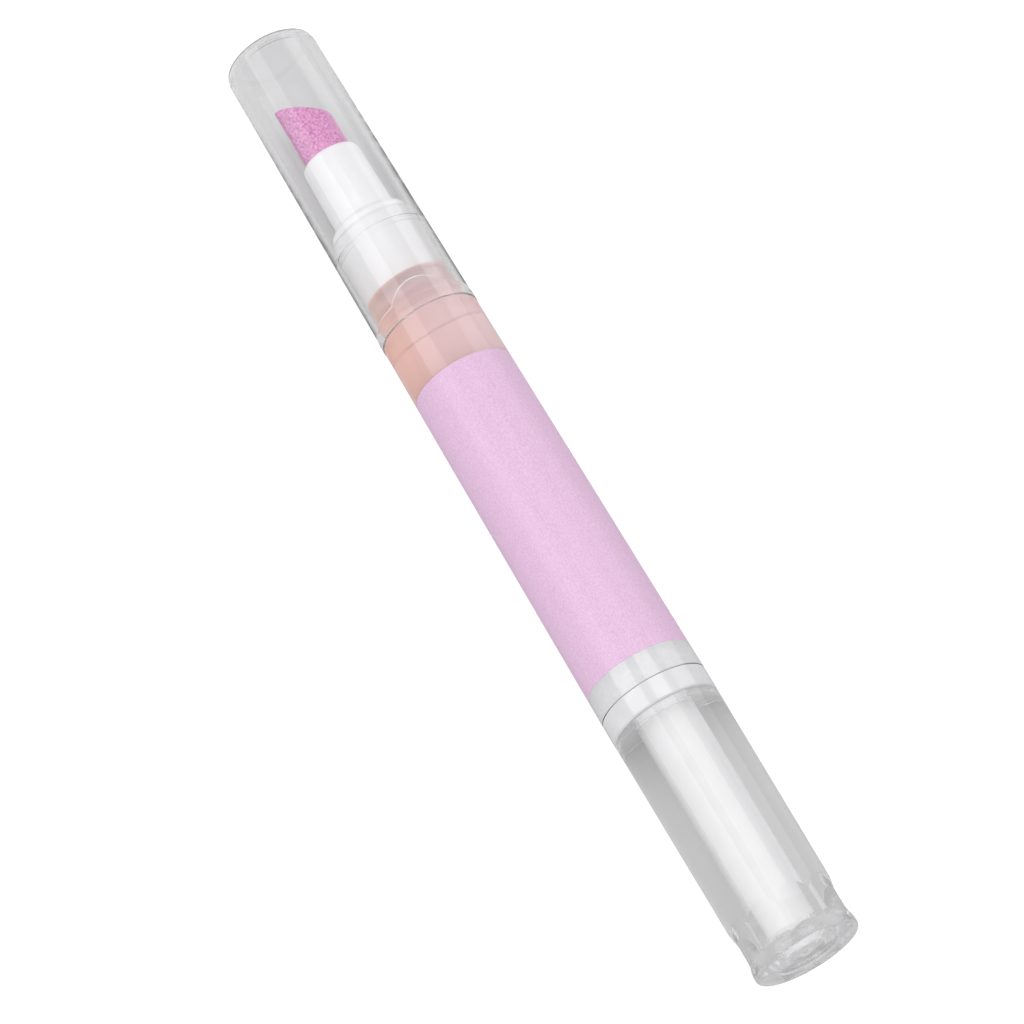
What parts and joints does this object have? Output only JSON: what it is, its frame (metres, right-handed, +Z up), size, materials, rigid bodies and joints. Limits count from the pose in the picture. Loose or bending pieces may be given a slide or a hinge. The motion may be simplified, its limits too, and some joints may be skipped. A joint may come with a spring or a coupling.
{
  "type": "nail oil pen",
  "caption": "Twist-up nail oil pen: clear pull-off cap over a slanted porous tip, clear oil barrel with a film label, and a clear twist knob that drives a screw and piston.",
  "frame": {"origin": "centre of the knob's end face, on the pen's axis", "axes": "+X along the pen's axis from the knob to the cap; Z up as the pen lies on a table, with its shown side up; Y across"},
  "size_m": [0.1333, 0.0136, 0.0136],
  "materials": {
    "clear_plastic": "clear moulded, polished",
    "white_plastic": "white moulded, satin",
    "milky_plastic": "milky translucent, satin",
    "pawl_plastic": "natural white moulded",
    "piston_plastic": "soft natural white",
    "label_film": "satin lilac film",
    "oil": "clear peach-coloured oil",
    "porous_tip": "grainy pink porous plastic"
  },
  "bodies": {
    "pen_body": {"barrel": "clear_plastic", "label": "label_film", "nozzle": "white_plastic", "feed_tube": "milky_plastic", "applicator_tip": "porous_tip", "oil_fill": "oil", "drive_nut": "white_plastic", "ratchet_collar": "milky_plastic"},
    "cap_body": {"cap": "clear_plastic"},
    "knob_body": {"knob": "clear_plastic", "twist_sleeve": "white_plastic", "pawl_ring": "pawl_plastic"},
    "screw_body": {"lead_screw": "pawl_plastic"},
    "piston_body": {"piston": "piston_plastic"}
  },
  "joints": [
    {"name": "cap_pull", "type": "slide", "parent": "pen_body", "child": "cap_body", "axis": [1, 0, 0], "range_m": [0, 0.045]},
    {"name": "knob_twist", "type": "hinge", "parent": "pen_body", "child": "knob_body", "pos_m": [0, 0, 0], "axis": [1, 0, 0], "range_deg": [0, 5400]},
    {"name": "screw_advance", "type": "slide", "parent": "knob_body", "child": "screw_body", "axis": [1, 0, 0], "range_m": [0, 0.03]},
    {"name": "piston_slide", "type": "slide", "parent": "pen_body", "child": "piston_body", "axis": [1, 0, 0], "range_m": [0, 0.03], "deforming": ["oil_fill"]}
  ],
  "couplings": [
    {"joint": "screw_advance", "follows": "knob_twist", "m_per_rad": 0.00031831},
    {"joint": "piston_slide", "follows": "knob_twist", "m_per_rad": 0.00031831}
  ]
}
